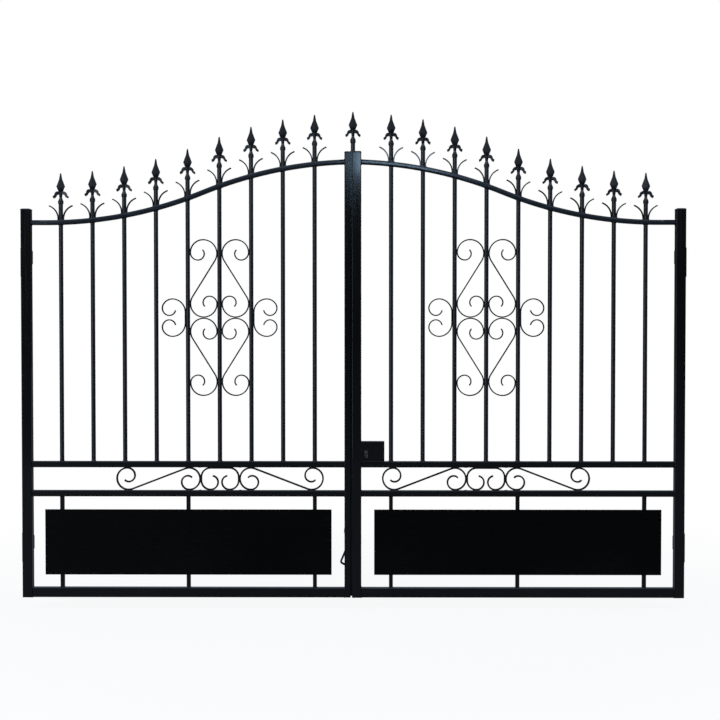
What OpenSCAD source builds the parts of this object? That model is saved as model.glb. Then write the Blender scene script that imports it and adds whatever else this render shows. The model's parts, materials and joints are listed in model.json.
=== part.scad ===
// Two-leaf wrought iron driveway gate, hung on four wall pintles.
// The origin is the middle of the lower left pintle's wall face: X runs along the gate
// from the left pillar to the right one, Y runs back into the yard and Z runs up.
// Each leaf is drawn from its hinge edge: x = 0 at the outer face of the hinge stile,
// y = 0 in the middle of the frame and z = 0 at the foot of the leaf.

/* [Opening] */
// Clear width between the two pillar faces
opening_w = 2744; // [2500:1:3400]
// Gap between a pillar face and the leaf that hangs on it
hinge_gap = 12; // [12:1:24]
// Gap between the two meeting stiles
meeting_gap = 9; // [8:0.5:14]

/* [Stiles] */
// Side of the square hinge stile
hinge_stile = 40; // [36:1:60]
// Height of the hinge stile without its cap
hinge_stile_h = 1593; // [1500:1:1900]
// Width of a meeting stile, seen from the street
meeting_stile = 30; // [28:1:40]
// Height of a meeting stile over the hinge stile, which makes the arch
arch_h = 233; // [150:1:245]
// Depth of the left meeting stile, which carries the drop bolt
bolt_stile_d = 30; // [26:1:30]
// Depth of the right meeting stile, which carries the lock
lock_stile_d = 40; // [40:1:50]
// Thickness of a stile cap
cap_h = 5; // [4:0.5:8]
// Wall of the square tubes
tube_wall = 2; // [1.5:0.1:3]
// Outer corner radius of the square tubes
tube_corner = 3; // [2.2:0.1:4]

/* [Rails] */
// Height of the bottom rail
bottom_rail_h = 40; // [30:1:60]
// Depth of the bottom rail
bottom_rail_d = 30; // [24:1:30]
// Side of the two square middle rails
mid_rail = 25; // [20:1:30]
// Underside of the lower middle rail above the foot
lower_mid_z = 416; // [380:1:460]
// Clear height of the scroll row between the middle rails
row_h = 95; // [86:1:120]
// Height of the curved top rail's section
top_rail_h = 20; // [16:1:26]
// Depth of the top rail
top_rail_d = 30; // [22:1:30]
// Drop from the top of the hinge stile to the middle of the top rail
hinge_rail_drop = 52; // [40:1:70]
// Drop from the top of the meeting stile to the middle of the top rail
arch_rail_drop = 38; // [30:1:60]
// Straight length of the top rail before it starts to rise
top_rail_lead = 70; // [20:1:150]
// Slope of the top rail where it meets the meeting stile, in degrees
top_rail_slope = 2; // [0:0.5:6]

/* [Bars] */
// Bars in each leaf
bar_count = 9; // [9:1:11]
// Diameter of a bar
bar_d = 16; // [14:1:20]
// Clearance round a bar where it passes through the top rail
bar_fit = 0.3; // [0.2:0.05:0.6]
// Height of a spear's foot above the middle of the top rail
spear_rise = 77; // [70:1:110]
// Gap that a weld fills where a bent strip meets a bar or a rail
weld_gap = 0.2; // [0.1:0.05:0.4]

/* [Spears] */
// Whole height of a cast spear
spear_h = 124; // [118:1:150]
// Width of the four-sided blade across its corners
blade_w = 36; // [30:1:44]
// Height of the blade's widest line above the spear's foot
blade_z = 70; // [66:1:80]
// Width of the blunt point
point_w = 5; // [3:0.5:8]
// Diameter of the collar at the spear's foot
collar_d = 22.5; // [21:0.5:28]
// Height of the collar
collar_h = 13; // [8:0.5:16]
// Diameter of the waist over the collar
waist_d = 11.5; // [10:0.5:14]
// Height of the waist over the collar
waist_rise = 11; // [8:0.5:14]
// Width of the blade's neck where the petals leave it
neck_w = 17.5; // [15:0.5:20]
// Drop from the blade's widest line to its neck
neck_drop = 23; // [18:0.5:28]
// Height of the blade's hollow over its widest line
hollow_rise = 29.5; // [20:0.5:34]
// Width of the blade at its hollow
hollow_w = 16; // [12:0.5:20]
// Thickness of a curled petal
petal_t = 7.5; // [5:0.5:9]
// Depth of a curled petal
petal_depth = 11; // [8:0.5:14]
// Bend radius over a petal's shoulder
petal_r = 9.5; // [8:0.5:12]
// Thickness of a petal's tip
petal_tip = 4; // [3:0.5:6]
// Turn of a petal down from the blade, in degrees
petal_turn = 80; // [60:1:90]
// Turn of a petal's tip outwards, in degrees
petal_flick = 55; // [30:1:70]

/* [Bent strip] */
// Thickness of the strip that scrolls and barbs are bent from
strip_t = 5; // [4:0.5:6]
// Depth of that strip
strip_d = 12; // [10:1:16]
// Radius of a curl's third quarter
curl_r1 = 31; // [29:0.5:33]
// Radius of a curl's fourth quarter
curl_r2 = 26; // [24:0.5:28]
// Radius of a curl's last turn
curl_r3 = 21; // [19:0.5:23]
// Turn of a curl's last bend, in degrees
curl_end = 50; // [30:1:60]
// Bend radius of a barb on the top rail
barb_r = 56; // [40:1:70]
// Turn of a barb from upright, in degrees
barb_turn = 66; // [45:1:80]

/* [Scrolls] */
// Bar, counted from the hinge stile, that the scrolls are centred on
scroll_bar = 6; // [5:1:6]
// Lift of the tall scroll group over the middle of its bar's clear height
group_lift = 26; // [-20:1:40]
// Height of one tall scroll, half of the group
tall_scroll_h = 322; // [300:1:350]
// Growth of a tall or long scroll's far curl over its near one
curl_offset = 2; // [0:0.5:4]
// Straight back of a side scroll
side_back = 46; // [30:1:60]
// First bend radius of a side scroll
side_r = 54; // [48:1:56]
// Second bend radius of a side scroll
side_r2 = 44; // [40:1:46]
// Turn of a side scroll's first bend, in degrees
side_turn = 80; // [60:1:90]
// Length of one long scroll in the row between the middle rails
row_scroll_l = 342; // [320:1:380]
// Straight back of the short scroll in the middle of the row
row_back = 78; // [70:1:90]
// Bend radius at the shoulders of the short scroll
row_end_r = 38; // [34:1:40]

/* [Kick panel] */
// Thickness of the sheet
panel_t = 2; // [1.5:0.5:4]
// Margin between the sheet and the frame round it
panel_margin = 53; // [30:1:70]
// Side of the short square bars that carry the sheet
panel_bar = 16; // [12:1:20]

/* [Hinges] */
// Diameter of a hinge pin
pin_d = 16; // [14:1:18]
// Running clearance of a pin in its eye
pin_fit = 0.1; // [0.05:0.01:0.1]
// Outer diameter of a hinge eye
eye_d = 32; // [28:1:34]
// Height of a hinge eye
eye_h = 40; // [30:1:50]
// Gap between a hinge eye and the back of the stile
eye_gap = 6; // [6:0.5:10]
// Height of the lower hinge above the foot
lower_hinge_z = 200; // [150:1:300]
// Drop of the upper hinge from the top of the hinge stile
upper_hinge_drop = 213; // [150:1:350]
// Thickness of a pintle's wall plate
plate_t = 6; // [5:0.5:6]
// Width of a wall plate
plate_w = 70; // [66:1:90]
// Height of a wall plate
plate_h = 120; // [110:1:160]
// Distance between a wall plate's two bolt holes
bolt_pitch = 80; // [70:1:90]
// Diameter of a wall bolt hole
bolt_hole = 12; // [9:0.5:14]
// Offset of the bolt holes from the middle of the wall plate, away from the pin
bolt_offset = 14; // [12:0.5:20]
// Length of a pin above its hinge eye
pin_proud = 4; // [2:0.5:8]
// Thickness of the lug under a hinge eye
lug_t = 14; // [10:1:18]

/* [Lock and drop bolt] */
// Width of the lock box
lock_w = 95; // [80:1:100]
// Height of the lock box above the upper middle rail
lock_h = 82; // [70:1:110]
// Distance of the key cylinder from the meeting stile
key_x = 20; // [14:1:40]
// Height of the key cylinder above the upper middle rail
key_z = 40; // [30:1:60]
// Diameter of the key cylinder's round part
key_d = 17; // [15:0.5:18]
// Width of the key cylinder's lower part
key_w = 10; // [9:0.5:11]
// Height of the key cylinder's lower part
key_h = 25; // [22:0.5:28]
// Length of the key cylinder out of the lock box at each side
key_proud = 4; // [2:0.5:6]
// Width of the cover strip over the gap between the leaves
cover_w = 45; // [42:1:46]
// Thickness of the cover strip
cover_t = 5; // [4:0.5:6]
// Reach of the cover strip past the middle of the gate
cover_reach = 12; // [10:0.5:12]
// Height of the centre spear's foot above the meeting stile
centre_rise = 47; // [40:1:60]
// Length of the centre spear's bar along the cover strip
centre_grip = 60; // [40:1:100]
// Diameter of the drop bolt's rod
rod_d = 12; // [10:0.5:12]
// Length of the drop bolt's rod
rod_l = 390; // [385:1:450]
// Running clearance of the rod in its guides
rod_fit = 0.1; // [0.05:0.01:0.1]
// Distance of the rod's middle from the stile's inner edge
rod_inset = 8; // [7:0.5:10]
// Gap between the rod and the stile
rod_gap = 3; // [2:0.5:4]
// Wall of a rod guide
guide_wall = 3; // [2:0.5:4]
// Height of a rod guide
guide_h = 18; // [14:1:20]
// Height of the lower rod guide above the foot
lower_guide_z = 4; // [2:1:10]
// Height of the upper rod guide above the foot
upper_guide_z = 262; // [225:1:275]
// Height above the foot where the handle loop leaves the rod
handle_top_z = 199; // [190:1:205]
// Height above the foot where the handle loop comes back
handle_low_z = 127; // [122:1:135]
// Thickness of the handle loop
handle_d = 8; // [6:0.5:9]
// Reach of the handle loop past the stile's edge
handle_reach = 21; // [15:1:30]

/* [Hidden] */
paint = "#1a1c20";
sheet_paint = "#101113";
cast_paint = "#22252a";
nickel = "#b9b7ae";

// Leaf widths and the spacing of the bars
leaf_w = (opening_w - 2 * hinge_gap - meeting_gap) / 2;
meeting_stile_h = hinge_stile_h + arch_h;
clear_x0 = hinge_stile;
clear_x1 = leaf_w - meeting_stile;
clear_w = clear_x1 - clear_x0;
bar_gap = (clear_w - bar_count * bar_d) / (bar_count + 1);
middle_x = leaf_w + meeting_gap / 2;
upper_mid_z = lower_mid_z + mid_rail + row_h;
bar_foot_z = upper_mid_z + mid_rail;
panel_bars_at = [1, (bar_count + 1) / 2, bar_count];

// Top rail: a straight lead, then two equal arcs that meet at the steepest point
top_rail_z = hinge_stile_h - hinge_rail_drop;
top_rail_rise = arch_h + hinge_rail_drop - arch_rail_drop;
rail_x0 = clear_x0 + top_rail_lead;
rail_run = clear_x1 - rail_x0;
rail_k = top_rail_rise / rail_run;
rail_c = 1 + cos(top_rail_slope) + rail_k * sin(top_rail_slope);
rail_turn = atan(rail_k) + acos(rail_c / (2 * sqrt(1 + pow(rail_k, 2))));
rail_r = rail_run / (2 * sin(rail_turn) - sin(top_rail_slope));
rail_mid_x = rail_x0 + rail_r * sin(rail_turn);
rail_mid_z = top_rail_z + rail_r * (1 - cos(rail_turn));
rail_top_x = rail_mid_x + rail_r * sin(rail_turn);

// Spear heights
waist_z = collar_h + waist_rise;
neck_z = blade_z - neck_drop;
foot_edge = 1;
collar_edge = 2;
petal_reach = petal_r + 2;
petal_root = petal_t + 2;

// Hinge, lock and drop bolt places in the leaf
upper_hinge_z = hinge_stile_h - upper_hinge_drop;
hinge_x = hinge_stile / 2;
hinge_y = hinge_stile / 2 + eye_gap + eye_d / 2;
plate_y = hinge_y - eye_d / 2 + plate_w / 2;
bolt_y = plate_y + bolt_offset;
seat_gap = 0.3;
lock_stile_back = lock_stile_d / 2;
rod_x = clear_x1 + rod_inset;
rod_y = bolt_stile_d / 2 + rod_gap + rod_d / 2;
guide_w = rod_d + 2 * guide_wall;
centre_spear_z = meeting_stile_h + centre_rise;
bend_step = 7.5;
rail_steps = 40;
over = 1;

function bar_x(i) = clear_x0 + i * bar_gap + (i - 0.5) * bar_d;
function rail_z(x) =
    x < rail_x0 ? top_rail_z
    : x < rail_mid_x ? top_rail_z + rail_r - sqrt(pow(rail_r, 2) - pow(x - rail_x0, 2))
    : rail_mid_z - rail_r * cos(rail_turn) + sqrt(pow(rail_r, 2) - pow(rail_top_x - x, 2));
function rail_slope(x) =
    x < rail_x0 ? 0
    : asin(x < rail_mid_x ? (x - rail_x0) / rail_r : (rail_top_x - x) / rail_r);
function rail_edge_z(x, s) = rail_z(x) + s * top_rail_h / 2 / cos(rail_slope(x));
function spear_foot_z(x) = rail_z(x) + spear_rise;
group_z = (bar_foot_z + rail_z(bar_x(scroll_bar))) / 2 + group_lift;

// Places a leaf's pieces in the opening
module left() {
    translate([hinge_gap, -plate_y, -lower_hinge_z]) children();
}
module right() {
    translate([opening_w - hinge_gap, -plate_y, -lower_hinge_z]) mirror([1, 0, 0]) children();
}

// Stands a flat drawing up in the plane of the leaf
module upright() {
    rotate([90, 0, 0]) children();
}

// Points [x, y, heading] of a bar bent in its plane, after a start at x, y with heading h.
// A step is [radius, turn in degrees], left turns positive, or [0, length] for a straight.
function walk(steps, x = 0, y = 0, h = 0, i = 0) =
    i == len(steps) ? []
    : let (r = steps[i][0], turn = steps[i][1], side = sign(turn) * r)
        let (n = r > 0 ? ceil(abs(turn) / bend_step) : 1)
        let (run = [for (k = [1:n])
            let (a = r > 0 ? h + turn * k / n : h)
                r > 0 ? [x + side * (sin(a) - sin(h)), y - side * (cos(a) - cos(h)), a]
                : [x + turn * cos(h), y + turn * sin(h), h]])
            concat(run, walk(steps, run[n - 1][0], run[n - 1][1], run[n - 1][2], i + 1));
function turned(path) = [for (i = [len(path) - 1:-1:0]) path[i] + [0, 0, 180]];
function flipped(path) = [for (p = path) [p[0], -p[1], -p[2]]];

// Outline of a bent bar that tapers from width w0 to width w1
module stroke(path, w0, w1) {
    last = len(path) - 1;
    function edge(i, s) =
        let (p = path[i], w = (w0 + (w1 - w0) * i / last) / 2 * s)
            [p[0] - w * sin(p[2]), p[1] + w * cos(p[2])];
    polygon(concat(
        [for (i = [0:last]) edge(i, 1)],
        [for (i = [last:-1:0]) edge(i, -1)]
    ));
}
module strip(path) {
    linear_extrude(strip_d, center = true) stroke(path, strip_t, strip_t);
}

// Rounded rectangle with true corner arcs
module rounded(w, d, r) {
    square([w - 2 * r, d], center = true);
    square([w, d - 2 * r], center = true);
    for (x = [-1, 1], y = [-1, 1])
        translate([x * (w / 2 - r), y * (d / 2 - r)]) circle(r, $fn = 32);
}

module tube(w, d, l) {
    linear_extrude(l) difference() {
        rounded(w, d, tube_corner);
        rounded(w - 2 * tube_wall, d - 2 * tube_wall, tube_corner - tube_wall / 2);
    }
}

module rail_tube(z, h, d) {
    translate([clear_x0, 0, z + h / 2]) rotate([90, 0, 90]) tube(d, h, clear_w);
}

// Low hipped cap on the end of a tube
module tube_cap(w, d) {
    hip = cap_h / 2;
    module hipped(across, along) {
        rotate([90, 0, 0]) linear_extrude(along, center = true) polygon([
            [-across / 2, 0], [across / 2, 0], [across / 2, cap_h - hip],
            [across / 2 - 2 * hip, cap_h], [2 * hip - across / 2, cap_h], [-across / 2, cap_h - hip]
        ]);
    }
    intersection() {
        hipped(w, d);
        rotate(90) hipped(d, w);
    }
}

// Frame pieces of a leaf
module hinge_stile_tube() {
    color(paint) translate([hinge_x, 0, 0]) tube(hinge_stile, hinge_stile, hinge_stile_h);
}
module hinge_stile_cap() {
    color(paint) translate([hinge_x, 0, hinge_stile_h]) tube_cap(hinge_stile, hinge_stile);
}
module meeting_stile_tube(depth) {
    color(paint) translate([leaf_w - meeting_stile / 2, 0, 0]) tube(meeting_stile, depth, meeting_stile_h);
}
module meeting_stile_cap(depth) {
    color(paint) translate([leaf_w - meeting_stile / 2, 0, meeting_stile_h]) tube_cap(meeting_stile, depth);
}
module upper_mid_rail() {
    color(paint) rail_tube(upper_mid_z, mid_rail, mid_rail);
}
module lower_mid_rail() {
    color(paint) rail_tube(lower_mid_z, mid_rail, mid_rail);
}
module bottom_rail() {
    color(paint) rail_tube(0, bottom_rail_h, bottom_rail_d);
}

// The curved top rail, punched for the bars
module top_rail() {
    edge_x = concat([clear_x0], [for (i = [0:rail_steps]) rail_x0 + rail_run * i / rail_steps]);
    last = len(edge_x) - 1;
    color(paint) difference() {
        upright() linear_extrude(top_rail_d, center = true) polygon(concat(
            [for (x = edge_x) [x, rail_edge_z(x, -1)]],
            [for (i = [last:-1:0]) [edge_x[i], rail_edge_z(edge_x[i], 1)]]
        ));
        for (i = [1:bar_count])
            translate([bar_x(i), 0, rail_z(bar_x(i)) - 2 * top_rail_h])
                cylinder(h = 4 * top_rail_h, d = bar_d + 2 * bar_fit, $fn = 48);
    }
}

module bars() {
    color(paint) for (i = [1:bar_count])
        translate([bar_x(i), 0, bar_foot_z])
            cylinder(h = spear_foot_z(bar_x(i)) - bar_foot_z, d = bar_d, $fn = 48);
}

// Cast spear: turned foot, four-sided blade and two curled petals
module spear() {
    rotate_extrude($fn = 48) polygon([
        [0, 0], [collar_d / 2 - foot_edge, 0], [collar_d / 2, foot_edge],
        [collar_d / 2, collar_h - collar_edge], [collar_d / 2 - collar_edge, collar_h],
        [waist_d / 2, waist_z], [neck_w / 2, neck_z + collar_edge], [0, neck_z + collar_edge]
    ]);
    intersection() {
        for_blade(45);
        for_blade(-45);
    }
    petal = walk([[0, petal_reach], [petal_r, -petal_turn], [petal_r, petal_flick], [0, petal_tip]]);
    for (s = [0, 1]) mirror([s, 0, 0]) translate([0, 0, neck_z - petal_t / 2]) upright()
        linear_extrude(petal_depth, center = true)
            stroke(concat([[0, 0, 0]], petal), petal_root, petal_tip);
}
module for_blade(turn) {
    across = sqrt(2);
    rotate(turn) upright() linear_extrude(2 * blade_w, center = true) polygon([
        for (p = [[-neck_w, neck_z], [-blade_w, blade_z], [-hollow_w, blade_z + hollow_rise],
                [-point_w, spear_h], [point_w, spear_h], [hollow_w, blade_z + hollow_rise],
                [blade_w, blade_z], [neck_w, neck_z]])
            [p[0] / 2 / across, p[1]]
    ]);
}
module spears() {
    color(cast_paint) for (i = [1:bar_count])
        translate([bar_x(i), 0, spear_foot_z(bar_x(i))]) spear();
}

// A pair of barbs stands on the top rail at each bar
module barbs() {
    foot = bar_d / 2 + weld_gap + strip_t / 2;
    color(paint) for (i = [1:bar_count], s = [-1, 1]) {
        x = bar_x(i) + s * foot;
        z = max(rail_edge_z(x - strip_t / 2, 1), rail_edge_z(x + strip_t / 2, 1));
        bends = [[0, strip_t], [barb_r, -s * barb_turn], [0, strip_t]];
        translate([x, 0, z + weld_gap]) upright()
            strip(concat([[0, 0, 90]], walk(bends, 0, 0, 90)));
    }
}

// Scroll with opposite curls at its ends, joined by a straight that touches both.
// It stands on y = 0 between x = -span / 2 and span / 2, measured to the strip's middle.
function s_scroll(span, height) =
    let (low_r = span / 2, high_r = low_r + curl_offset)
        let (rise = height - low_r - high_r, shift = low_r - high_r)
            let (reach = norm([rise, shift]), lean = asin((low_r + high_r) / reach))
                let (h = atan2(rise, shift) - lean)
                    let (x = -low_r * sin(h), y = low_r + low_r * cos(h))
                        concat(
                            turned(walk([
                                [low_r, 270 - h], [curl_r1, 90], [curl_r2, 90], [curl_r3, curl_end]
                            ], x, y, h + 180)),
                            [[x, y, h]],
                            walk([
                                [0, reach * cos(lean)], [high_r, 180 - h], [span - high_r, 90],
                                [curl_r1, 90], [curl_r2, 90], [curl_r3, curl_end]
                            ], x, y, h)
                        );

// Scroll with a straight back on the Y axis and two like curls towards -X
function c_scroll(back, bends) =
    let (half = walk(concat([[0, back / 2]], bends), 0, 0, 90))
        concat(turned(flipped(half)), half);

module tall_scrolls() {
    span = bar_gap - strip_t - 2 * weld_gap;
    stand = (strip_t + weld_gap) / 2;
    middle = (bar_d + bar_gap) / 2;
    color(paint) translate([bar_x(scroll_bar), 0, group_z]) upright()
        for (across = [0, 1], down = [0, 1]) mirror([across, 0, 0]) mirror([0, down, 0])
            translate([-middle, stand, 0])
                strip(s_scroll(span, tall_scroll_h - stand - strip_t / 2));
}

module side_scrolls() {
    back_x = 1.5 * bar_d + bar_gap + weld_gap + strip_t / 2;
    bends = [[side_r, side_turn], [side_r2, 150 - side_turn], [curl_r1, 90], [curl_r2, 60 + curl_end]];
    color(paint) translate([bar_x(scroll_bar), 0, group_z]) upright()
        for (s = [0, 1]) mirror([s, 0, 0]) translate([-back_x, 0, 0])
            strip(c_scroll(side_back, bends));
}

module row_scrolls() {
    span = row_h - strip_t - 2 * weld_gap;
    row_z = lower_mid_z + mid_rail + row_h / 2;
    half_c = row_back / 2 + row_end_r;
    flank = [[row_end_r, 90], [0, span - 2 * row_end_r], [row_end_r, 90]];
    ends = concat(flank, [[curl_r1, 90], [curl_r2, 30 + curl_end]]);
    color(paint) translate([bar_x(scroll_bar), 0, row_z]) upright() {
        translate([0, span / 2, 0]) rotate(90)
            strip(c_scroll(row_back, ends));
        for (s = [0, 1]) mirror([s, 0, 0])
            translate([-half_c - strip_t - weld_gap, 0, 0]) mirror([0, 1, 0]) rotate(90)
                strip(s_scroll(span, row_scroll_l));
    }
}

// Kick panel: a sheet in front of three short bars
module panel_bars() {
    color(paint) for (i = panel_bars_at)
        translate([bar_x(i) - panel_bar / 2, -panel_bar / 2, bottom_rail_h])
            cube([panel_bar, panel_bar, lower_mid_z - bottom_rail_h]);
}
module kick_panel() {
    color(sheet_paint)
        translate([clear_x0 + panel_margin, -panel_bar / 2 - panel_t, bottom_rail_h + panel_margin])
            cube([
                clear_w - 2 * panel_margin, panel_t, lower_mid_z - bottom_rail_h - 2 * panel_margin
            ]);
}

// Hinges: an eye on the back of the stile turns on a pintle that is bolted to the pillar
module hinge_eye() {
    difference() {
        union() {
            cylinder(h = eye_h, d = eye_d, $fn = 64);
            translate([-eye_d / 3, hinge_stile / 2 - hinge_y, 0])
                cube([2 * eye_d / 3, hinge_y - hinge_stile / 2, eye_h]);
        }
        translate([0, 0, -over]) cylinder(h = eye_h + 2 * over, d = pin_d + 2 * pin_fit, $fn = 64);
    }
}
module hinge_eyes() {
    color(paint) for (z = [lower_hinge_z, upper_hinge_z])
        translate([hinge_x, hinge_y, z + lug_t / 2 + seat_gap]) hinge_eye();
}
module pintle(z) {
    color(paint) translate([0, 0, z]) {
        difference() {
            translate([-hinge_gap, plate_y - plate_w / 2, -plate_h / 2]) cube([plate_t, plate_w, plate_h]);
            for (s = [-1, 1]) translate([-hinge_gap - over, bolt_y, s * bolt_pitch / 2])
                rotate([0, 90, 0]) cylinder(h = plate_t + 2 * over, d = bolt_hole, $fn = 48);
        }
        translate([plate_t - hinge_gap, hinge_y - eye_d / 2, -lug_t / 2])
            cube([hinge_x + hinge_gap - plate_t, eye_d, lug_t]);
        translate([hinge_x, hinge_y, -lug_t / 2]) cylinder(h = lug_t, d = eye_d, $fn = 64);
        translate([hinge_x, hinge_y, 0])
            cylinder(h = lug_t / 2 + seat_gap + eye_h + pin_proud, d = pin_d, $fn = 64);
    }
}

// Lock on the right leaf
module key_outline(grow) {
    circle(d = key_d + 2 * grow, $fn = 48);
    translate([-key_w / 2 - grow, -key_h - grow]) square([key_w + 2 * grow, key_h + grow]);
}
module at_key() {
    translate([clear_x1 - key_x, 0, bar_foot_z + key_z]) upright() children();
}
module lock_box() {
    color(paint) difference() {
        translate([clear_x1 - lock_w, -lock_stile_d / 2, bar_foot_z]) cube([lock_w, lock_stile_d, lock_h]);
        at_key() linear_extrude(lock_stile_d + 2 * over, center = true) key_outline(weld_gap);
    }
}
module lock_cylinder() {
    color(nickel) at_key() linear_extrude(lock_stile_d + 2 * key_proud, center = true) key_outline(0);
}

// Cover strip behind the gap, with the spear that stands on the middle of the gate
module cover_strip() {
    color(paint) translate([middle_x + cover_reach - cover_w, lock_stile_back, 0])
        cube([cover_w, cover_t, meeting_stile_h + 2 * cap_h]);
}
module at_centre_spear(z) {
    translate([middle_x, lock_stile_back + cover_t + weld_gap + bar_d / 2, z]) children();
}
module centre_spear() {
    color(cast_paint) at_centre_spear(centre_spear_z) spear();
}
module centre_spear_bar() {
    color(paint) at_centre_spear(meeting_stile_h - centre_grip)
        cylinder(h = centre_rise + centre_grip, d = bar_d, $fn = 48);
}

// Drop bolt behind the left meeting stile
module drop_bolt_guides() {
    color(paint) for (z = [lower_guide_z, upper_guide_z]) difference() {
        translate([rod_x - guide_w / 2, bolt_stile_d / 2, z])
            cube([guide_w, rod_y + guide_w / 2 - bolt_stile_d / 2, guide_h]);
        translate([rod_x, rod_y, z - over])
            cylinder(h = guide_h + 2 * over, d = rod_d + 2 * rod_fit, $fn = 64);
    }
}
module drop_bolt() {
    bend = handle_d;
    out = rod_x - clear_x1 + handle_reach - handle_d / 2;
    corner_z = handle_low_z + out / 2;
    fall = atan2(corner_z - handle_top_z, -out);
    back = atan2(handle_low_z - corner_z, out);
    turn = back - fall;
    trim = bend * tan(turn / 2);
    upper = norm([out, handle_top_z - corner_z]) - trim;
    lower = norm([out, corner_z - handle_low_z]) - trim;
    loop = walk([[0, upper], [bend, turn], [0, lower]], 0, 0, fall);
    color(paint) {
        translate([rod_x, rod_y, 0]) cylinder(h = rod_l, d = rod_d, $fn = 64);
        translate([rod_x, rod_y, handle_top_z]) upright() linear_extrude(handle_d, center = true)
            stroke(concat([[0, 0, fall]], loop), handle_d, handle_d);
    }
}

left() pintle(lower_hinge_z);  // left_lower_pintle
left() pintle(upper_hinge_z);  // left_upper_pintle
right() pintle(lower_hinge_z);  // right_lower_pintle
right() pintle(upper_hinge_z);  // right_upper_pintle
left() hinge_stile_tube();  // left_hinge_stile
left() hinge_stile_cap();  // left_hinge_stile_cap
left() meeting_stile_tube(bolt_stile_d);  // left_meeting_stile
left() meeting_stile_cap(bolt_stile_d);  // left_meeting_stile_cap
left() top_rail();  // left_top_rail
left() upper_mid_rail();  // left_upper_mid_rail
left() lower_mid_rail();  // left_lower_mid_rail
left() bottom_rail();  // left_bottom_rail
left() bars();  // left_bars
left() spears();  // left_spears
left() barbs();  // left_barbs
left() tall_scrolls();  // left_tall_scrolls
left() side_scrolls();  // left_side_scrolls
left() row_scrolls();  // left_row_scrolls
left() panel_bars();  // left_panel_bars
left() kick_panel();  // left_kick_panel
left() hinge_eyes();  // left_hinge_eyes
left() drop_bolt_guides();
left() drop_bolt();
right() hinge_stile_tube();  // right_hinge_stile
right() hinge_stile_cap();  // right_hinge_stile_cap
right() meeting_stile_tube(lock_stile_d);  // right_meeting_stile
right() meeting_stile_cap(lock_stile_d);  // right_meeting_stile_cap
right() top_rail();  // right_top_rail
right() upper_mid_rail();  // right_upper_mid_rail
right() lower_mid_rail();  // right_lower_mid_rail
right() bottom_rail();  // right_bottom_rail
right() bars();  // right_bars
right() spears();  // right_spears
right() barbs();  // right_barbs
right() tall_scrolls();  // right_tall_scrolls
right() side_scrolls();  // right_side_scrolls
right() row_scrolls();  // right_row_scrolls
right() panel_bars();  // right_panel_bars
right() kick_panel();  // right_kick_panel
right() hinge_eyes();  // right_hinge_eyes
right() lock_box();
right() lock_cylinder();
right() cover_strip();
right() centre_spear();
right() centre_spear_bar();
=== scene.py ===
import json
import math

import bmesh
import bpy
from mathutils import Matrix, Vector

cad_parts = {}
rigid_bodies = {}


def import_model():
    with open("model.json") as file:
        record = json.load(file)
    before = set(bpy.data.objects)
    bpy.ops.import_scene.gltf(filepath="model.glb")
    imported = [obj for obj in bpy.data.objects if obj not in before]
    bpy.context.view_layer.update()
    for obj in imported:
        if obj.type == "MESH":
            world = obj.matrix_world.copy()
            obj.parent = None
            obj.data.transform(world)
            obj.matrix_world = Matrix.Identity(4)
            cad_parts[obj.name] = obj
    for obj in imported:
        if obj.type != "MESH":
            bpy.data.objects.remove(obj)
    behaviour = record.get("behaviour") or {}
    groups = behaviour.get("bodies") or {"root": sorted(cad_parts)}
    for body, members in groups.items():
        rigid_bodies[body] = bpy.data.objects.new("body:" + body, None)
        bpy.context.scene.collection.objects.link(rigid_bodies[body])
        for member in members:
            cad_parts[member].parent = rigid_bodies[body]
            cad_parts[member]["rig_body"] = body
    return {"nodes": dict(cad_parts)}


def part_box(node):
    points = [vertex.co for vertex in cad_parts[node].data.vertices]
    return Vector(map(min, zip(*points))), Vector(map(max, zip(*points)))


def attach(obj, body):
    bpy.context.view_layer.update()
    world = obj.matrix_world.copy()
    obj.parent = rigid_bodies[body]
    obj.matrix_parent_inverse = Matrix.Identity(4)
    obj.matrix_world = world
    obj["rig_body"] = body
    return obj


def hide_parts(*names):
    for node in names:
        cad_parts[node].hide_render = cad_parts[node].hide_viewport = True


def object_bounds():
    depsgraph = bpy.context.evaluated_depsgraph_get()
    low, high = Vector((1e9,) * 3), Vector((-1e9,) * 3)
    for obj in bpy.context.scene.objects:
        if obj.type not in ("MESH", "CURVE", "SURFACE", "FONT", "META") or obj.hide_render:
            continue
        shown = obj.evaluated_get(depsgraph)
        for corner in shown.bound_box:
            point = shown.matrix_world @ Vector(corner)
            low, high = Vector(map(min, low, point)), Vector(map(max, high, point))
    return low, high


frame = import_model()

cad_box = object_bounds()
bpy.context.scene.view_settings.view_transform = "Standard"


# Viewpoint: the gate is seen square on from the street, from a little under
# six metres away, with a long lens that is tipped slightly down.
def placed(name, data):
    """A new object in the scene."""
    made = bpy.data.objects.new(name, data)
    bpy.context.scene.collection.objects.link(made)
    return made


sensor_width = 36
focal_pixels, picture_pixels = 1400, 720
tip_down, turn_left = 0.0259, 0.007
camera = placed("street_view", bpy.data.cameras.new("street_view"))
camera.location = (1.4415, -5.8083, 0.9265)
camera.rotation_euler = (math.pi / 2 - tip_down, 0, turn_left)
camera.data.sensor_width = sensor_width
camera.data.lens = sensor_width * focal_pixels / picture_pixels
bpy.context.scene.camera = camera


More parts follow.
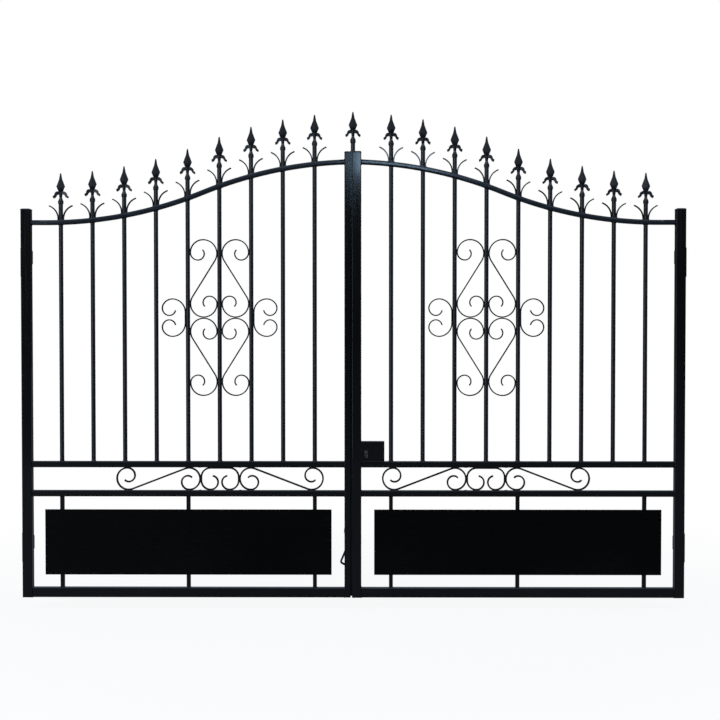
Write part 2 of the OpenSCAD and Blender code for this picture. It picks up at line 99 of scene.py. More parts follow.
# Wall pintles: forged plates with a lug and an upright pin, painted with the gate
# and bolted to the reveal of each pillar. The pins are left greased and bare.
class Dab:
    """A socket of a finish. Sums and products of dabs add Math nodes to it."""

    def __init__(self, finish, socket):
        self.finish = finish
        self.socket = socket

    def math(self, operation, *terms):
        return self.finish.node("ShaderNodeMath", {"operation": operation}, dict(enumerate(terms)))

    def __add__(self, other):
        return self.math("ADD", self, other)

    def __radd__(self, other):
        return self.math("ADD", other, self)

    def __sub__(self, other):
        return self.math("SUBTRACT", self, other)

    def __rsub__(self, other):
        return self.math("SUBTRACT", other, self)

    def __mul__(self, other):
        return self.math("MULTIPLY", self, other)

    def __rmul__(self, other):
        return self.math("MULTIPLY", other, self)

    def over(self, other):
        """The larger of two dabs."""
        return self.math("MAXIMUM", self, other)

    def rise(self, low, high, start=0.0, end=1.0):
        """start under low, end over high and a smooth step between them."""
        return self.finish.node(
            "ShaderNodeMapRange", {"interpolation_type": "SMOOTHSTEP"},
            {"Value": self, "From Min": low, "From Max": high, "To Min": start, "To Max": end})


class Finish:
    """Nodes round one shader, in a new material or in a world."""

    def __init__(self, name, world=None):
        self.material = world or bpy.data.materials.new(name)
        self.material.use_nodes = True
        self.tree = self.material.node_tree
        self.shader = self.tree.nodes["Background" if world else "Principled BSDF"]
        self.end = self.tree.nodes["World Output" if world else "Material Output"]
        self.place = self.node("ShaderNodeTexCoord", out="Generated" if world else "Object")

    def node(self, kind, settings={}, sockets={}, out=0):
        made = self.tree.nodes.new(kind)
        for key, value in settings.items():
            if key == "stops":
                for stop, (at, tone) in zip(made.color_ramp.elements, value):
                    stop.position = at
                    stop.color = (*tone, 1)
            else:
                setattr(made, key, value)
        for key, value in sockets.items():
            self.feed(made.inputs[key], value)
        return Dab(self, made.outputs[out])

    def feed(self, socket, value):
        if isinstance(value, Dab):
            self.tree.links.new(value.socket, socket)
        else:
            socket.default_value = value

    def along(self, vector, axis):
        return self.node("ShaderNodeSeparateXYZ", {}, {0: vector}, out=axis)

    def noise(self, scale, detail=2.0, stretch=(1, 1, 1)):
        at = self.node("ShaderNodeMapping", {}, {"Vector": self.place, "Scale": stretch})
        return self.node("ShaderNodeTexNoise", {}, {"Vector": at, "Scale": scale, "Detail": detail})

    def blend(self, share, tone_a, tone_b):
        pair = [(*t, 1) if isinstance(t, tuple) else t for t in (tone_a, tone_b)]
        return self.node(
            "ShaderNodeMix", {"data_type": "RGBA"}, {0: share, 6: pair[0], 7: pair[1]}, out=2)

    def relief(self, height, strength, depth):
        return self.node(
            "ShaderNodeBump", {}, {"Height": height, "Strength": strength, "Distance": depth})

    def surface(self, **sockets):
        for key, value in sockets.items():
            self.feed(self.shader.inputs[key.replace("_", " ")], value)
        return self.material


def enamel(name, tone, roughness, peel, gloss, drag=(1, 1, 1)):
    """Black enamel: brush drag whose streaks are also painted lighter as a painted sheen, cloudy gloss,
    orange peel, dust where it can lie and rare chips.
    """
    dust_tone, rust_tone = (0.07, 0.068, 0.062), (0.05, 0.028, 0.018)
    painted_sheen_tone = tuple(4.5 * t for t in tone)
    peel_depth = 0.0004
    coat = Finish(name)
    cloud = coat.noise(2.3, 4)
    brush = coat.noise(170, 3, drag)
    pebble = coat.noise(520, 2)
    speck = coat.noise(160, 3)
    height = coat.along(coat.place, "Z")
    upward = coat.along(coat.node("ShaderNodeNewGeometry", out="Normal"), "Z")
    splash = 1 - height.rise(-0.2, 0.1)
    dust = (upward.rise(0.45, 0.95) * 0.5 + splash * 0.1) * cloud.rise(0.35, 0.75)
    chip = speck.rise(0.735, 0.76)
    streak = brush.rise(0.5, 0.75) * (0.35 + 0.65 * cloud.rise(0.35, 0.65))
    # The brush streaks are painted lighter in the base colour: a painted sheen along the drag marks,
    # not wear.
    sheen_streaked = coat.blend(streak * 0.45, tone, painted_sheen_tone)
    greyed = coat.blend(dust * 0.35, sheen_streaked, dust_tone)
    chipped = coat.blend(chip * 0.8, greyed, rust_tone)
    return coat.surface(
        Base_Color=chipped,
        Roughness=roughness + 0.05 * cloud + 0.08 * streak + 0.3 * dust + 0.25 * chip,
        Normal=coat.relief(0.5 * pebble + 0.7 * brush - 1.2 * chip, peel, peel_depth),
        Specular_IOR_Level=gloss,
        Coat_Weight=0.5 * gloss - 0.5 * gloss * dust,
        Coat_Roughness=0.6 * roughness)


gate_enamel = enamel("gate_enamel", (0.0018, 0.002, 0.0025), roughness=0.12, peel=0.12, gloss=0.4)


def islands(shape):
    """The vertices of each separate solid in a mesh, in the order of the mesh."""
    waiting = dict.fromkeys(shape.verts)
    groups = []
    while waiting:
        front = [next(iter(waiting))]
        del waiting[front[0]]
        group = []
        while front:
            vert = front.pop()
            group.append(vert)
            for edge in vert.link_edges:
                other = edge.other_vert(vert)
                if other in waiting:
                    del waiting[other]
                    front.append(other)
        groups.append(group)
    return groups


same_point = 2e-6
flat_angle, corner_angle = math.radians(0.4), math.radians(33)
same_area = 2e-5


def whole(mesh):
    """A working copy of a mesh, with the points that its faces share joined."""
    shape = bmesh.new()
    shape.from_mesh(mesh)
    bmesh.ops.remove_doubles(shape, verts=shape.verts, dist=same_point)
    return shape


def eased(node, edge, finish, name, shaped=None):
    """A copy of a node with its corners rounded as rolled and painted steel has them.
    shaped, where given, works on the copy first and may name the only edges to round."""
    shape = whole(frame["nodes"][node].data)
    bmesh.ops.dissolve_limit(
        shape, angle_limit=flat_angle, verts=shape.verts, edges=shape.edges)
    weight = shape.edges.layers.float.new("bevel_weight_edge")
    chosen = shaped(shape) if shaped else None
    for e in chosen or ():
        e[weight] = 1
    mesh = bpy.data.meshes.new(name)
    shape.to_mesh(mesh)
    shape.free()
    mesh.shade_smooth()
    raw = placed(name + "_raw", mesh)
    bevel = raw.modifiers.new("corner", "BEVEL")
    bevel.width = edge
    bevel.segments = 4 if chosen else 2
    bevel.limit_method = "WEIGHT" if chosen else "ANGLE"
    bevel.angle_limit = corner_angle
    bevel.use_clamp_overlap = True
    flat = raw.modifiers.new("flat_faces", "WEIGHTED_NORMAL")
    flat.mode = "FACE_AREA"
    flat.weight = 100
    flat.thresh = same_area
    ready = bpy.data.meshes.new_from_object(
        raw.evaluated_get(bpy.context.evaluated_depsgraph_get()))
    ready.name = name
    ready.materials.clear()
    ready.materials.append(finish)
    piece = placed(name, ready)
    bpy.data.objects.remove(raw)
    return piece


def dress(node, finish, edge, shaped=None):
    """Puts an eased and painted copy in a node's place, on the node's own body."""
    piece = eased(node, edge, finish, node + "_painted", shaped)
    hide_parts(node)
    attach(piece, frame["nodes"][node]["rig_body"])
    return piece


greased_pin = Finish("greased_pin")
film = greased_pin.noise(60, 4, (1, 1, 0.25))
greased_pin.surface(
    Base_Color=greased_pin.blend(film.rise(0.35, 0.7), (0.2, 0.19, 0.17), (0.05, 0.042, 0.03)),
    Roughness=0.25 + 0.3 * film,
    Metallic=1 - 0.5 * film.rise(0.5, 0.8),
    Normal=greased_pin.relief(film, 0.3, 0.0004))

zinc = Finish("zinc_bolt")
spangle = zinc.node("ShaderNodeTexVoronoi", {}, {"Vector": zinc.place, "Scale": 900})
dull = zinc.noise(120, 3)
zinc.surface(
    Base_Color=zinc.blend(spangle * 0.8 + dull * 0.3, (0.5, 0.5, 0.5), (0.3, 0.31, 0.32)),
    Roughness=0.32 + 0.3 * dull,
    Metallic=1 - 0.2 * dull,
    Normal=zinc.relief(dull, 0.15, 0.0003))


def node_tree(name, inputs):
    """An empty Geometry Nodes tree with a geometry on each side and named inputs."""
    tree = bpy.data.node_groups.new(name, "GeometryNodeTree")
    tree.interface.new_socket(name="Places", in_out="INPUT", socket_type="NodeSocketGeometry")
    for label, kind in inputs:
        tree.interface.new_socket(name=label, in_out="INPUT", socket_type="NodeSocket" + kind)
    tree.interface.new_socket(name="Made", in_out="OUTPUT", socket_type="NodeSocketGeometry")
    return tree, tree.nodes.new("NodeGroupInput").outputs, tree.nodes.new("NodeGroupOutput")


def grow(tree, kind, settings={}, out=0, **sockets):
    """Adds a node to a tree and returns its output. A socket takes a value or another output,
    and i0 or i1 stands for its number."""
    made = tree.nodes.new(kind)
    for key, value in settings.items():
        setattr(made, key, value)
    for key, value in sockets.items():
        numbered = key in ("i0", "i1")
        socket = made.inputs[int(key[1]) if numbered else key.replace("_", " ")]
        if isinstance(value, list):
            for one in value:
                tree.links.new(one, socket)
        elif isinstance(value, bpy.types.NodeSocket):
            tree.links.new(value, socket)
        else:
            socket.default_value = value
    return made.outputs[out]


def count(tree, operation, first, second):
    """A Math node in a tree."""
    return grow(tree, "ShaderNodeMath", {"operation": operation}, i0=first, i1=second)


def end_tree(tree, result, shape, finish):
    """Makes instances real, puts the finish on them and closes the tree."""
    real = grow(tree, "GeometryNodeRealizeInstances", Geometry=shape)
    faced = grow(tree, "GeometryNodeSetMaterial", Geometry=real, Material=finish)
    tree.links.new(faced, result.inputs[0])


def grown(name, points, edges, tree, values, body):
    """Runs a tree on points and edges, keeps the result as a plain mesh and rides it on a body."""
    mesh = bpy.data.meshes.new(name + "_places")
    mesh.from_pydata(points, edges, [])
    holder = placed(name + "_places", mesh)
    made = holder.modifiers.new("made", "NODES")
    made.node_group = tree
    for item in tree.interface.items_tree:
        if item.in_out == "INPUT" and item.name in values:
            made[item.identifier] = values[item.name]
    ready = bpy.data.meshes.new_from_object(
        holder.evaluated_get(bpy.context.evaluated_depsgraph_get()))
    ready.name = name
    piece = placed(name, ready)
    bpy.data.objects.remove(holder)
    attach(piece, body)
    return piece


bolt_tree, given, result = node_tree("wall_bolt", [
    ("Washer diameter", "Float"), ("Nut width", "Float"), ("Stud diameter", "Float"),
    ("Side", "Float"), ("Finish", "Material")])
stacked = []
for label, width_in_radii, sides, thick, lift in (
        ("Washer diameter", 2, 32, 0.002, 0.001),
        ("Nut width", math.sqrt(3), 6, 0.008, 0.006),
        ("Stud diameter", 2, 24, 0.006, 0.013)):
    disc = grow(
        bolt_tree, "GeometryNodeMeshCylinder", out="Mesh", Vertices=sides, Depth=thick,
        Radius=count(bolt_tree, "DIVIDE", given[label], width_in_radii))
    stacked.append(grow(bolt_tree, "GeometryNodeTransform", Geometry=disc, Translation=(0, 0, lift)))
quarter = count(bolt_tree, "MULTIPLY", given["Side"], math.pi / 2)
set_out = grow(
    bolt_tree, "GeometryNodeInstanceOnPoints", Points=given["Places"],
    Instance=grow(bolt_tree, "GeometryNodeJoinGeometry", Geometry=stacked),
    Rotation=grow(bolt_tree, "ShaderNodeCombineXYZ", Y=quarter))
end_tree(bolt_tree, result, set_out, given["Finish"])

opening_width = 2.744
plate_thickness = 0.006
bolt_half_pitch = 0.04
bolt_out = 0.014
pin_out, pin_y, pin_reach, pin_foot = 0.032, -0.019, 0.0083, 0.0672
for side, wall_x, sign in (("left", 0.0, 1), ("right", opening_width, -1)):
    holes = []
    for level in ("lower", "upper"):
        plate = f"{side}_{level}_pintle"
        mesh = dress(plate, gate_enamel, edge=0.0008).data
        mesh.materials.append(greased_pin.material)
        low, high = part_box(plate)
        pin_x = wall_x + sign * pin_out
        for face in mesh.polygons:
            corners = [mesh.vertices[i].co for i in face.vertices]
            near = all(math.hypot(c.x - pin_x, c.y - pin_y) < pin_reach for c in corners)
            if near and all(c.z > low.z + pin_foot for c in corners):
                face.material_index = 1
        middle = (low.z + high.z) / 2
        holes += [
            (wall_x + sign * plate_thickness, bolt_out, middle + s * bolt_half_pitch) for s in (-1, 1)]
    grown(f"{side}_wall_bolts", holes, [], bolt_tree, {
        "Washer diameter": 0.021, "Nut width": 0.016, "Stud diameter": 0.01,
        "Side": float(sign), "Finish": zinc.material}, "wall_pintles")


# Hinge stiles: square steel tube, cut to length, closed on top by a low pressed cap
# that is welded on, with a bored eye welded to the back at each hinge.
weld_tree, given, result = node_tree("weld_bead", [
    ("Bead radius", "Float"), ("Ripple pitch", "Float"), ("Ripple depth", "Float"),
    ("Seed", "Int"), ("Finish", "Material")])
runs = grow(weld_tree, "GeometryNodeMeshToCurve", Mesh=given["Places"])
laid = grow(
    weld_tree, "GeometryNodeResampleCurve", {"mode": "LENGTH"}, Curve=runs,
    Length=given["Ripple pitch"])
wander = grow(
    weld_tree, "FunctionNodeRandomValue", {"data_type": "FLOAT"}, out="Value", Seed=given["Seed"])
swell = count(weld_tree, "SUBTRACT", 1.0, count(weld_tree, "MULTIPLY", wander, given["Ripple depth"]))
section = grow(
    weld_tree, "GeometryNodeCurvePrimitiveCircle", Resolution=7, Radius=given["Bead radius"])
bead = grow(
    weld_tree, "GeometryNodeCurveToMesh", Curve=laid, Profile_Curve=section, Scale=swell,
    Fill_Caps=True)
soft = grow(weld_tree, "GeometryNodeSetShadeSmooth", Geometry=bead)
end_tree(weld_tree, result, soft, given["Finish"])

upright_enamel = enamel(
    "upright_enamel", (0.0018, 0.0021, 0.0026), roughness=0.08, peel=0.025, gloss=0.4,
    drag=(1, 1, 0.03))
weld_enamel = enamel("painted_weld", (0.0018, 0.002, 0.0025), roughness=0.22, peel=0.3, gloss=0.35)


def weld(name, loops, radius, body, seed):
    """Beads along runs of points. A run that ends where it starts is a closed ring."""
    points, edges = [], []
    for loop in loops:
        first = len(points)
        closed = (Vector(loop[0]) - Vector(loop[-1])).length < 1e-7
        points += loop[:-1] if closed else loop
        last = len(points) - 1
        edges += [(i, i + 1) for i in range(first, last)]
        if closed:
            edges.append((last, first))
    return grown(name, points, edges, weld_tree, {
        "Bead radius": radius, "Ripple pitch": 0.0022, "Ripple depth": 0.35,
        "Seed": seed, "Finish": weld_enamel}, body)


def frame_loop(low, high, z):
    """A level ring round a box."""
    return [
        (low.x, low.y, z), (high.x, low.y, z), (high.x, high.y, z), (low.x, high.y, z),
        (low.x, low.y, z)]


eye_height = 0.04
seam_inset = Vector((0.0007, 0.0007, 0))
for side in ("left", "right"):
    dress(side + "_hinge_stile", upright_enamel, edge=0.0006)
    dress(side + "_hinge_stile_cap", gate_enamel, edge=0.0012)
    dress(side + "_hinge_eyes", gate_enamel, edge=0.0009)
    low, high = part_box(side + "_hinge_stile")
    seams = [frame_loop(low + seam_inset, high - seam_inset, high.z)]
    eye_low, eye_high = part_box(side + "_hinge_eyes")
    tab = (eye_high.x - eye_low.x) / 3
    middle = (eye_low.x + eye_high.x) / 2
    for z in (eye_low.z, eye_high.z - eye_height):
        seams += [
            [(middle + s * tab, high.y, z), (middle + s * tab, high.y, z + eye_height)]
            for s in (-1, 1)]
    weld(side + "_hinge_stile_welds", seams, radius=0.0021, body=side + "_leaf", seed=11)


# Meeting stiles: tube where the leaves meet, capped in the same way. The left one, with the
# drop bolt, is slim, and the right one, with the lock, is wider and deeper.
def regauged(side, step):
    """A shaping that moves a tube's face at the gap: slimmer on the left, wider on the right."""
    def shaping(shape):
        ends = [v.co.x for v in shape.verts]
        middle = (min(ends) + max(ends)) / 2
        for v in shape.verts:
            if (v.co.x > middle) == (side == "left"):
                v.co.x += step
    return shaping


left_slimmer, right_wider = 0.005, 0.008
gap_faces = {
    "left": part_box("left_meeting_stile")[1].x - left_slimmer,
    "right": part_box("right_meeting_stile")[0].x - right_wider}
for side in ("left", "right"):
    low, high = (corner.copy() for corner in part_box(side + "_meeting_stile"))
    at_gap = high if side == "left" else low
    shaping = regauged(side, gap_faces[side] - at_gap.x)
    at_gap.x = gap_faces[side]
    dress(side + "_meeting_stile", upright_enamel, edge=0.0006, shaped=shaping)
    dress(side + "_meeting_stile_cap", upright_enamel, edge=0.0012, shaped=shaping)
    seam = frame_loop(low + seam_inset, high - seam_inset, high.z)
    weld(side + "_meeting_cap_weld", [seam], radius=0.0017, body=side + "_leaf", seed=12)


# Rails: tube cut square and welded all round between the stiles, and over them the arched
# top rail, a flat bar with round edges that is bent on edge and punched for the bars. Its
# paint has a lighter, bluish tone that is a painted reflection of the sky.
def end_loop(low, high, x):
    """A ring round the end of a rail, in the plane of a stile's face."""
    return [
        (x, low.y, low.z), (x, high.y, low.z), (x, high.y, high.z), (x, low.y, high.z),
        (x, low.y, low.z)]


rail_enamel = enamel(
    "rail_enamel", (0.0018, 0.0021, 0.0026), roughness=0.12, peel=0.025, gloss=0.4,
    drag=(0.03, 1, 1))
# A lighter, bluish tone: a painted reflection of the sky on the top rail's face.
arch_enamel_sky_sheen = enamel(
    "arch_enamel_sky_sheen", (0.01, 0.0135, 0.019), roughness=0.14, peel=0.025, gloss=0.4,
    drag=(0.03, 1, 1))
on_face = 1e-5


def long_edges(shape):
    """The four edges that run along a rail, and none of those round its holes."""
    reach = [v.co.y for v in shape.verts]
    faces = (min(reach), max(reach))
    return [
        e for e in shape.edges
        if abs(e.verts[0].co.x - e.verts[1].co.x) > 1e-4
        and any(all(abs(v.co.y - y) < on_face for v in e.verts) for y in faces)
        and e.calc_face_angle(0) > 1]


for side in ("left", "right"):
    beads = []
    for rail in ("upper_mid_rail", "lower_mid_rail", "bottom_rail"):
        node = f"{side}_{rail}"
        dress(node, rail_enamel, edge=0.0006)
        low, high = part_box(node)
        beads += [end_loop(low, high, low.x), end_loop(low, high, high.x)]
    node = side + "_top_rail"
    dress(node, arch_enamel_sky_sheen, edge=0.0075, shaped=long_edges)
    low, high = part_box(node)
    for end_x in (low.x, high.x):
        levels = [
            v.co.z for v in frame["nodes"][node].data.vertices if abs(v.co.x - end_x) < on_face]
        beads.append(end_loop(
            Vector((0, low.y, min(levels))), Vector((0, high.y, max(levels))), end_x))
    weld(side + "_rail_welds", beads, radius=0.0022, body=side + "_leaf", seed=21)


# Bars: round bar that stands on the upper middle rail, passes through the punched top rail
# and carries a spear. A ring of weld holds it at each place.
def solids(node):
    """Low and high corners of each separate solid in a node."""
    shape = whole(frame["nodes"][node].data)
    found = [
        tuple(Vector([pick(v.co[k] for v in group) for k in range(3)]) for pick in (min, max))
        for group in islands(shape)]
    shape.free()
    return sorted(found, key=lambda pair: pair[0].x)


def ring(x, y, z, radius, slope=0.0):
    """A ring round an upright bar, tipped to a slope along the gate."""
    steps = 20
    turns = [2 * math.pi * i / steps for i in range(steps)]
    loop = [
        (x + radius * math.cos(a), y + radius * math.sin(a), z + slope * radius * math.cos(a))
        for a in turns]
    return loop + loop[:1]


def axis_of(island):
    """The upright line through the middle of a solid."""
    return Vector([sum(pick(v.co[k] for v in island) for pick in (min, max)) / 2 for k in (0, 1)])


def rail_line(crest, x, pick):
    """Height of a rail's upper or lower edge at a place along the gate."""
    columns = sorted({round(cx, 5) for cx, cz in crest})
    before = max(c for c in columns if c <= x)
    after = min(c for c in columns if c > x)
    level = [pick(cz for cx, cz in crest if abs(cx - c) < 2e-5) for c in (before, after)]
    return level[0] + (level[1] - level[0]) * (x - before) / (after - before)


bar_growth = 0.12
bead_stand = 0.0006
slope_reach = 0.01
# A lighter, bluish tone: a painted sheen of sky reflection on the round bars.
bar_enamel_sky_sheen = enamel(
    "bar_enamel_sky_sheen", (0.005, 0.0065, 0.009), roughness=0.24, peel=0.02, gloss=0.4, drag=(1, 1, 0.03))


def swelled(shape):
    """Makes round bars as thick as they look under their coats of paint."""
    for island in islands(shape):
        axis = axis_of(island)
        for v in island:
            v.co.xy += (v.co.xy - axis) * bar_growth


for side in ("left", "right"):
    dress(side + "_bars", bar_enamel_sky_sheen, edge=0.0004, shaped=swelled)
    front_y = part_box(side + "_top_rail")[0].y
    rail = [v.co for v in frame["nodes"][side + "_top_rail"].data.vertices]
    crest = sorted((c.x, c.z) for c in rail if abs(c.y - front_y) < on_face)
    rings = []
    for bar_low, bar_high in solids(side + "_bars"):
        x, y = (bar_low.x + bar_high.x) / 2, (bar_low.y + bar_high.y) / 2
        radius = (1 + bar_growth) * (bar_high.x - bar_low.x) / 2 + bead_stand
        rings.append(ring(x, y, bar_low.z + bead_stand, radius))
        for pick in (max, min):
            fall = [rail_line(crest, x + s * slope_reach, pick) for s in (-1, 1)]
            slope = (fall[1] - fall[0]) / (2 * slope_reach)
            rings.append(ring(x, y, rail_line(crest, x, pick), radius, slope))
    weld(side + "_bar_welds", rings, radius=0.0021, body=side + "_leaf", seed=31)


# Spears and barbs: cast iron spear heads with curled petals, welded on the bars' ends, and
# under each a pair of bent barbs that stands on the top rail.
cast_enamel = enamel(
    "cast_enamel", (0.004, 0.005, 0.0066), roughness=0.3, peel=0.25, gloss=0.35)
hollow_z, hollow_reach, hollow_draw = 0.0995, 0.001, 0.16
petal_zone, neck_half, petal_half = (0.018, 0.05), 0.0096, 0.0307
petal_fill, tip_fill, petal_way = 0.003, 0.0018, Vector((0.3, 1, 1))
spear_foot_radius = 0.0102


def filed(shape):
    """Draws a spear's blade in to a long point and fills its petals out, as a sand casting has them."""
    shape.normal_update()
    for island in islands(shape):
        foot = min(v.co.z for v in island)
        axis = axis_of(island)
        moves = []
        for v in island:
            rise, across = v.co.z - foot, abs(v.co.x - axis.x)
            if abs(rise - hollow_z) < hollow_reach:
                moves.append((v, ((axis - v.co.xy) * hollow_draw).to_3d()))
            elif petal_zone[0] < rise < petal_zone[1] and across > neck_half:
                out = (across - neck_half) / (petal_half - neck_half)
                moves.append((v, petal_way * v.normal * (petal_fill + tip_fill * out)))
        for v, step in moves:
            v.co += step


for side in ("left", "right"):
    dress(side + "_spears", cast_enamel, edge=0.0016, shaped=filed)
    dress(side + "_barbs", gate_enamel, edge=0.0009)
    feet = []
    for low, high in solids(side + "_spears"):
        feet.append(ring((low.x + high.x) / 2, (low.y + high.y) / 2, low.z, spear_foot_radius))
    for low, high in solids(side + "_barbs"):
        foot_x = [
            v.co.x for v in frame["nodes"][side + "_barbs"].data.vertices
            if low.x - on_face <= v.co.x <= high.x + on_face and abs(v.co.z - low.z) < 1e-4]
        feet.append(frame_loop(
            Vector((min(foot_x), low.y, 0)), Vector((max(foot_x), high.y, 0)), low.z))
    weld(side + "_spear_welds", feet, radius=0.0016, body=side + "_leaf", seed=41)


# Scrolls: flat strip bent cold round formers into S and C shapes and tacked with weld
# to the bars, to the rails and to each other where they touch.
strip_growth = 0.0009
touch_reach = 0.00045
tack_half, tack_stand = 0.006, 0.0002
bar_run, bar_tack_out = 0.045, 0.0045
rail_run, rail_tack_out = 0.1, 0.0055


def stouter(shape):
    """Makes a strip thicker across its bends, and leaves its width."""
    shape.normal_update()
    for v, side_on in [(v, v.normal.copy()) for v in shape.verts]:
        side_on.y = 0
        v.co += side_on.normalized() * strip_growth


def run_middles(values, reach):
    """The middle of each run of touching points along a line."""
    waiting = sorted({round(value, 4) for value in values})
    middles = []
    while waiting:
        run = [value for value in waiting if value - waiting[0] < reach]
        waiting = waiting[len(run):]
        middles.append((run[0] + run[-1]) / 2)
    return middles


for side in ("left", "right"):
    dress(side + "_tall_scrolls", gate_enamel, edge=0.0009)
    dress(side + "_side_scrolls", gate_enamel, edge=0.0009)
    dress(side + "_row_scrolls", gate_enamel, edge=0.0009, shaped=stouter)
    tacks = []
    bars = solids(side + "_bars")
    for group in ("tall_scrolls", "side_scrolls"):
        strip = [v.co for v in frame["nodes"][f"{side}_{group}"].data.vertices]
        for low, high in bars:
            y = (low.y + high.y) / 2
            for face_x, s in ((low.x, -1), (high.x, 1)):
                x = face_x + s * tack_stand
                touching = [c.z for c in strip if abs(c.x - face_x) < touch_reach]
                tacks += [
                    [(x, y + dy, z - tack_half), (x, y + dy, z + tack_half)]
                    for z in run_middles(touching, bar_run) for dy in (-bar_tack_out, bar_tack_out)]
    strip = [v.co for v in frame["nodes"][side + "_row_scrolls"].data.vertices]
    y = sum(corner.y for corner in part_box(side + "_row_scrolls")) / 2
    for z in (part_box(side + "_lower_mid_rail")[1].z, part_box(side + "_upper_mid_rail")[0].z):
        touching = [c.x for c in strip if abs(c.z - z) < touch_reach]
        tacks += [
            [(x - tack_half, y + dy, z), (x + tack_half, y + dy, z)]
            for x in run_middles(touching, rail_run) for dy in (-rail_tack_out, rail_tack_out)]
    weld(side + "_scroll_tacks", tacks, radius=0.0018, body=side + "_leaf", seed=51)


# Kick panels: flat sheet, rolled out with satin enamel, in front of three short square
# bars, which are welded between the rails and stitched to the sheet from the back.
sheet_enamel = enamel(
    "sheet_enamel", (0.001, 0.0012, 0.0011), roughness=0.4, peel=0.1, gloss=0.06, drag=(0.1, 1, 1))
stitch, first_stitch, end_margins, stitch_count = 0.03, 0.02, 0.07, 4
for side in ("left", "right"):
    dress(side + "_kick_panel", sheet_enamel, edge=0.0005)
    dress(side + "_panel_bars", gate_enamel, edge=0.0009)
    low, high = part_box(side + "_kick_panel")
    stitches = []
    for bar_low, bar_high in solids(side + "_panel_bars"):
        stitches += [frame_loop(bar_low, bar_high, z) for z in (bar_low.z, bar_high.z)]
        for x in (bar_low.x, bar_high.x):
            for part in range(stitch_count):
                share = part * (high.z - low.z - end_margins) / (stitch_count - 1)
                z = low.z + first_stitch + share
                stitches.append([(x, high.y, z), (x, high.y, z + stitch)])
    weld(side + "_panel_welds", stitches, radius=0.0019, body=side + "_leaf", seed=61)


# Lock: a welded steel case in the corner of the right leaf, with a nickel key cylinder
# through it that shows its plug and key slot on both faces. The key slot is a near-black inlay, painted
# shade for the keyway's hollow.
nickel = Finish("nickel_cylinder")
brushed = nickel.noise(900, 3, (1, 1, 0.06))
touched = nickel.noise(90, 3)
nickel.surface(
    Base_Color=nickel.blend(touched.rise(0.4, 0.75), (0.16, 0.16, 0.155), (0.07, 0.068, 0.06)),
    Roughness=0.26 + 0.15 * brushed + 0.15 * touched,
    Metallic=1 - 0.1 * touched,
    Normal=nickel.relief(brushed, 0.12, 0.0002))
# Near-black with a little grime: painted shade standing in for the hollow of the keyway.
keyway_painted_shade = Finish("key_slot_painted_shade")
shade_and_grime = keyway_painted_shade.noise(700, 3)
keyway_painted_shade.surface(
    Base_Color=keyway_painted_shade.blend(shade_and_grime, (0.006, 0.006, 0.006), (0.02, 0.017, 0.012)),
    Roughness=0.5 + 0.3 * shade_and_grime)
browned = Finish("browned_cylinder")
rubbed = browned.noise(130, 4)
browned.surface(
    Base_Color=browned.blend(rubbed.rise(0.5, 0.8), (0.01, 0.0095, 0.009), (0.09, 0.085, 0.075)),
    Roughness=0.3 + 0.2 * rubbed,
    Metallic=rubbed.rise(0.5, 0.8),
    Normal=browned.relief(rubbed, 0.15, 0.0002))

dress("lock_box", gate_enamel, edge=0.0014)
dress("lock_cylinder", browned.material, edge=0.0004)
low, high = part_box("lock_cylinder")
plug_radius, plug_depth, plug_stand, plug_drop = 0.0064, 0.0016, 0.0002, 0.0085
slot_depth, slot_stand = 0.0008, 0.0007
plug_x, plug_z = (low.x + high.x) / 2, high.z - plug_drop
plug = bmesh.new()
for y, s in ((low.y, -1), (high.y, 1)):
    at = Matrix.Translation((plug_x, y + s * plug_stand, plug_z))
    disc = bmesh.ops.create_cone(
        plug, cap_ends=True, segments=32, radius1=plug_radius, radius2=plug_radius,
        depth=plug_depth, matrix=at @ Matrix.Rotation(math.pi / 2, 4, "X"))
    edges = dict.fromkeys(e for v in disc["verts"] for e in v.link_edges)
    rim = [e for e in edges if e.calc_face_angle(0) > 1]
    bmesh.ops.bevel(plug, geom=rim, offset=0.0003, segments=2, affect="EDGES")
slots_from = len(plug.faces)
# The key slots are thin dark boxes on the plug faces, painted shade where a keyway would be a hollow.
for y, s in ((low.y, -1), (high.y, 1)):
    for wide, tall, lift in ((0.0016, 0.0078, 0.0), (0.003, 0.0024, 0.0027)):
        at = Matrix.Translation((plug_x, y + s * slot_stand, plug_z + lift))
        bmesh.ops.create_cube(
            plug, size=1, matrix=at @ Matrix.Diagonal((wide, slot_depth, tall, 1)))
plug.faces.ensure_lookup_table()
for face in plug.faces[slots_from:]:
    face.material_index = 1
bmesh.ops.recalc_face_normals(plug, faces=plug.faces)
plug_mesh = bpy.data.meshes.new("key_plugs")
plug.to_mesh(plug_mesh)
plug.free()
plug_mesh.materials.append(nickel.material)
plug_mesh.materials.append(keyway_painted_shade.material)
key_plugs = placed("key_plugs", plug_mesh)
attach(key_plugs, "right_leaf")

low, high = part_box("lock_box")
case_seams = [
    [(low.x, low.y, low.z), (low.x, low.y, high.z), (low.x, high.y, high.z), (low.x, high.y, low.z)],
    [(low.x, low.y, low.z), (high.x, low.y, low.z)],
    [(low.x, high.y, low.z), (high.x, high.y, low.z)]]
weld("lock_box_welds", case_seams, radius=0.0018, body="right_leaf", seed=71)


# Cover strip: a flat bar stitched with weld up the back of the right meeting stile, to close the
# gap between the leaves. A short bar with one more spear is welded to the back of its top.
dress("cover_strip", gate_enamel, edge=0.0009)
